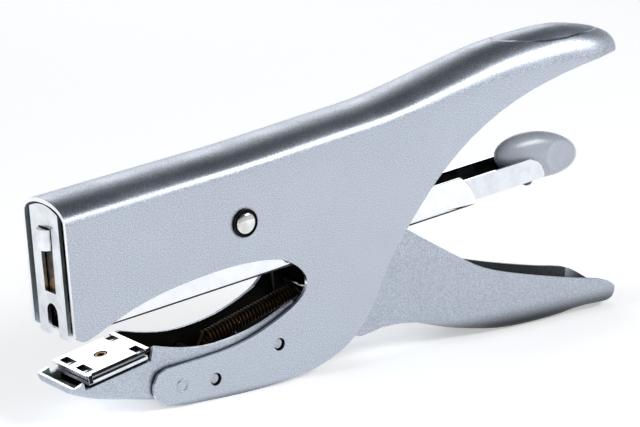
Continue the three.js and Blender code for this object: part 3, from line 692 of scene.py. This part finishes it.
RING_CENTRE = (-20.1, -41.7)
RING_SECTION = [(1.15, -0.3), (1.4, 0.14), (1.6, 0.22), (1.8, 0.14), (2.05, -0.3)]
for side, outward in (("near", -1), ("far", 1)):
    profile = [(radius, outward * (BODY_HALF + rise)) for radius, rise in RING_SECTION]
    ring = solid(f"pressed_ring_{side}", spin(profile, RING_CENTRE, closed=True))
    ring.data.materials.append(satin_body)
    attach(ring, "frame")

# ---- Return spring and its pins ------------------------------------------------------------------
# A close coil of bronze-coloured spring wire between a pin through the jaw and a pin through the
# lever, with a hook at each end. It opens the handles. The wire's colour is darker still, as painted
# shade for the throat it lies in.
spring_look = plated("bronzed_spring_wire_in_painted_shade", "#4a3828", "#2c2219", 0.5, reach=0.8)
WIRE = 0.7
COIL_RADIUS = 2.0
COIL_TURNS = 27
pins = [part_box(node) for node in ("spring_anchor_pin", "spring_hook_pin")]
ANCHOR, HOOK = (off((low + high) / 2) for low, high in pins)
COIL_START, COIL_END = Vector((-5.6, 0, -33.8)), Vector((24.0, 0, -25.2))
PIN_RADIUS = 1.2
LOOP_RADIUS = PIN_RADIUS + WIRE / 2 + 0.1

wire_tree = bpy.data.node_groups.new("drawn_wire", "GeometryNodeTree")
wire_tree.interface.new_socket("Path", in_out="INPUT", socket_type="NodeSocketGeometry")
wire_in = wire_tree.interface.new_socket("Wire radius", in_out="INPUT", socket_type="NodeSocketFloat")
look_in = wire_tree.interface.new_socket("Look", in_out="INPUT", socket_type="NodeSocketMaterial")
wire_tree.interface.new_socket("Wire", in_out="OUTPUT", socket_type="NodeSocketGeometry")
given = add(wire_tree, "NodeGroupInput")
run = add(wire_tree, "GeometryNodeMeshToCurve", Mesh=given.outputs["Path"])
section = add(wire_tree, "GeometryNodeCurvePrimitiveCircle", [("Resolution", 10)])
wire_tree.links.new(given.outputs["Wire radius"], section.inputs["Radius"])
swept = add(wire_tree, "GeometryNodeCurveToMesh", [("Fill Caps", True)], Curve=run.outputs["Curve"])
wire_tree.links.new(section.outputs["Curve"], swept.inputs["Profile Curve"])
whole = add(wire_tree, "GeometryNodeRealizeInstances", Geometry=swept.outputs["Mesh"])
dressed = add(wire_tree, "GeometryNodeSetMaterial", Geometry=whole.outputs["Geometry"])
wire_tree.links.new(given.outputs["Look"], dressed.inputs["Material"])
add(wire_tree, "NodeGroupOutput", Wire=dressed.outputs["Geometry"])


def draw_wire(piece, points, wire):
    """Wire of that diameter in mm along points off the main pivot, as a finished mesh."""
    path = bpy.data.meshes.new(piece)
    path.from_pydata([at(*point) for point in points], [(k, k + 1) for k in range(len(points) - 1)], [])
    made = put(piece, path)
    drawing = made.modifiers.new("drawing", "NODES")
    drawing.node_group = wire_tree
    drawing[wire_in.identifier] = wire / 2 * MM
    drawing[look_in.identifier] = spring_look
    settle(made)
    made.data.shade_smooth()
    return made


def coil(start, end, radius, turns, steps=14):
    """Points of a helix from start to end."""
    along = end - start
    across = Vector((0, 1, 0))
    up = along.cross(across).normalized()
    points = []
    for k in range(turns * steps + 1):
        angle = 2 * math.pi * k / steps
        middle = start + along * (k / (turns * steps))
        points.append(middle + radius * (math.cos(angle) * up + math.sin(angle) * across))
    return points


def loop(pin, towards, radius):
    """Points round a pin, which end on the line towards the coil."""
    out = (towards - pin).normalized()
    side = out.cross(Vector((0, 1, 0)))
    angles = [math.radians(a) for a in range(320, 19, -20)]
    return [pin + radius * (math.cos(a) * out + math.sin(a) * side) for a in angles]


points = loop(ANCHOR, COIL_START, LOOP_RADIUS) + coil(COIL_START, COIL_END, COIL_RADIUS, COIL_TURNS)
points += reversed(loop(HOOK, COIL_END, LOOP_RADIUS))
return_spring = draw_wire("return_spring_coil", points, WIRE)
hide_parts("return_spring")
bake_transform(return_spring)
for node, rides in (("spring_anchor_pin", "frame"), ("spring_hook_pin", "lever")):
    pin = show(f"turned_{node}", clean(node), polished, rides, node)
    roll_edges(pin, 0.15, polished)

# ---- Pusher, its rod and spring ------------------------------------------------------------------
# Inside the rail: a ground steel block that pushes the staples forward, sliding on a polished rod
# under a long spring that stands against a stop.
for node, rides, slot in (
    ("pusher", "pusher", "blade_steel"),
    ("spring_stop", "rail", "blade_steel"),
    ("pusher_rod", "rail", "polished_steel"),
):
    look = polished if slot == "polished_steel" else blade_steel
    block = show(f"steel_{node}", clean(node), look, rides, node)
    roll_edges(block, 0.15, look)
out_of_magazine = Matrix.Rotation(-MAGAZINE_TILT, 3, "Y")


def corners_in_magazine(node):
    """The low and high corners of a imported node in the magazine's own frame, in mm."""
    spots = [along_magazine @ off(vertex.co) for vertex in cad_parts[node].data.vertices]
    return [Vector(limit(part) for part in zip(*spots)) for limit in (min, max)]


PUSHER_WIRE = 0.5
PUSHER_TURNS = 30
END_ROOM = 0.3
low, high = corners_in_magazine("pusher_spring")
level = (low.z + high.z) / 2
radius = high.y - PUSHER_WIRE / 2
ends = (low.x + END_ROOM, high.x - END_ROOM)
pushed, held = (out_of_magazine @ Vector((along, 0, level)) for along in ends)
points = coil(pushed, held, radius, PUSHER_TURNS)
pusher_spring = draw_wire("pusher_spring_coil", points, PUSHER_WIRE)
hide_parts("pusher_spring")
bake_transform(pusher_spring)

# ---- Knob and catch ------------------------------------------------------------------------------
# The knob is an egg of grey ABS, moulded glossy, dished on both sides of its rear half. A pin holds it
# in the rail's open end. The catch under it is dark acetal, and unhooks the rail from the channel.
moulded, tree, shader = material("moulded_grey_abs", IOR=1.54)
place = add(tree, "ShaderNodeTexCoord").outputs["Object"]
FLOW = 8.33  # width of the flow patches in the plastic
flow = add(tree, "ShaderNodeTexNoise", [("Scale", per(FLOW)), ("Detail", 2.0)], Vector=place)
ABS_TONES = ((0.35, "#a5acb7"), (0.65, "#afb5bf"))
tone = add(tree, "ShaderNodeValToRGB", stops=ABS_TONES, Fac=flow.outputs["Fac"])
tree.links.new(tone.outputs["Color"], shader.inputs["Base Color"])
PEEL = 1.11  # width of the skin's faint waves
PEEL_DEPTH = 0.05
peel = add(tree, "ShaderNodeTexNoise", [("Scale", per(PEEL)), ("Detail", 1.0)], Vector=place)
gloss = [("From Min", 0.3), ("From Max", 0.7), ("To Min", 0.2), ("To Max", 0.3)]
polish = add(tree, "ShaderNodeMapRange", gloss, Value=peel.outputs["Fac"])
tree.links.new(polish.outputs["Result"], shader.inputs["Roughness"])
wavy = [("Strength", 0.05), ("Distance", PEEL_DEPTH * MM)]
skin = add(tree, "ShaderNodeBump", wavy, Height=peel.outputs["Fac"])
tree.links.new(skin.outputs["Normal"], shader.inputs["Normal"])

RAIL_REAR = 110.5
RAIL_TOP = -10.05
KNOB_CENTRE = Vector((RAIL_REAR + 2.15, 0, RAIL_TOP - 1.37))
KNOB_HALF = Vector((16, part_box("rail_knob")[1].y / MM, 7))
KNOB_TURN = math.radians(13.15)
DISH_RADIUS = 19.8
DISH_SHARP = math.radians(14)
DISH_CENTRES = [KNOB_CENTRE + Vector((10, side * 22.0, -1.5)) for side in (-1, 1)]
CATCH_ROOM = -13.85


def ball(piece, centre, half, turn=0.0, detail=1):
    """A fine ball stretched to half sizes, placed by the magazine's own frame in mm."""
    work = bmesh.new()
    bmesh.ops.create_uvsphere(work, u_segments=96 * detail, v_segments=64 * detail, radius=1)
    turned = Matrix.Rotation(turn, 3, "Y")
    for vertex in work.verts:
        spot = turned @ Vector(a * b for a, b in zip(vertex.co, half)) + centre
        vertex.co = at(*(out_of_magazine @ spot))
    return solid(piece, work)


knob = ball("moulded_knob", KNOB_CENTRE, KNOB_HALF, KNOB_TURN)
dish_half = Vector((DISH_RADIUS,) * 3)
dishes = [ball("dish_cutter", centre, dish_half, detail=2) for centre in DISH_CENTRES]
# The catch needs room under the knob, so a block that is larger than the egg clears it.
room_low, room_high = Vector((60, -20, -40)), Vector((RAIL_REAR + 0.5, 20, CATCH_ROOM))
work = bmesh.new()
bmesh.ops.create_cube(work, size=1)
for vertex in work.verts:
    spot = Vector(a + (b - a) * (part + 0.5) for a, b, part in zip(room_low, room_high, vertex.co))
    vertex.co = at(*(out_of_magazine @ spot))
block = solid("room_cutter", work)
for cutter in (*dishes, block):
    cut = knob.modifiers.new(cutter.name, "BOOLEAN")
    cut.operation = "DIFFERENCE"
    cut.solver = "EXACT"
    cut.object = cutter
settle(knob)
for cutter in (*dishes, block):
    bpy.data.objects.remove(cutter)
knob.data.materials.clear()
knob.data.materials.append(moulded)
knob.data.shade_smooth()
knob.data.set_sharp_from_angle(angle=DISH_SHARP)
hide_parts("rail_knob")
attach(knob, "rail")

acetal, tree, shader = material("dark_moulded_acetal", IOR=1.48)
place = add(tree, "ShaderNodeTexCoord").outputs["Object"]
MOULD_GRAIN = 1.43  # of the mould's eroded face, coarse enough to show
mould = add(tree, "ShaderNodeTexNoise", [("Scale", per(MOULD_GRAIN)), ("Detail", 2.0)], Vector=place)
ACETAL_TONES = ((0.35, "#3c3f43"), (0.65, "#4b4f54"))
tone = add(tree, "ShaderNodeValToRGB", stops=ACETAL_TONES, Fac=mould.outputs["Fac"])
tree.links.new(tone.outputs["Color"], shader.inputs["Base Color"])
gloss = [("From Min", 0.3), ("From Max", 0.7), ("To Min", 0.35), ("To Max", 0.5)]
polish = add(tree, "ShaderNodeMapRange", gloss, Value=mould.outputs["Fac"])
tree.links.new(polish.outputs["Result"], shader.inputs["Roughness"])
catch = show("moulded_catch", clean("rail_catch"), acetal, "catch", "rail_catch")
roll_edges(catch, 0.25, acetal)
for node in ("knob_pin", "catch_pin"):
    pin = show(f"turned_{node}", clean(node), polished, "rail", node)
    roll_edges(pin, 0.12, polished)

# ---- Bounds of the shown objects -----------------------------------------------------------------
low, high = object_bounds()
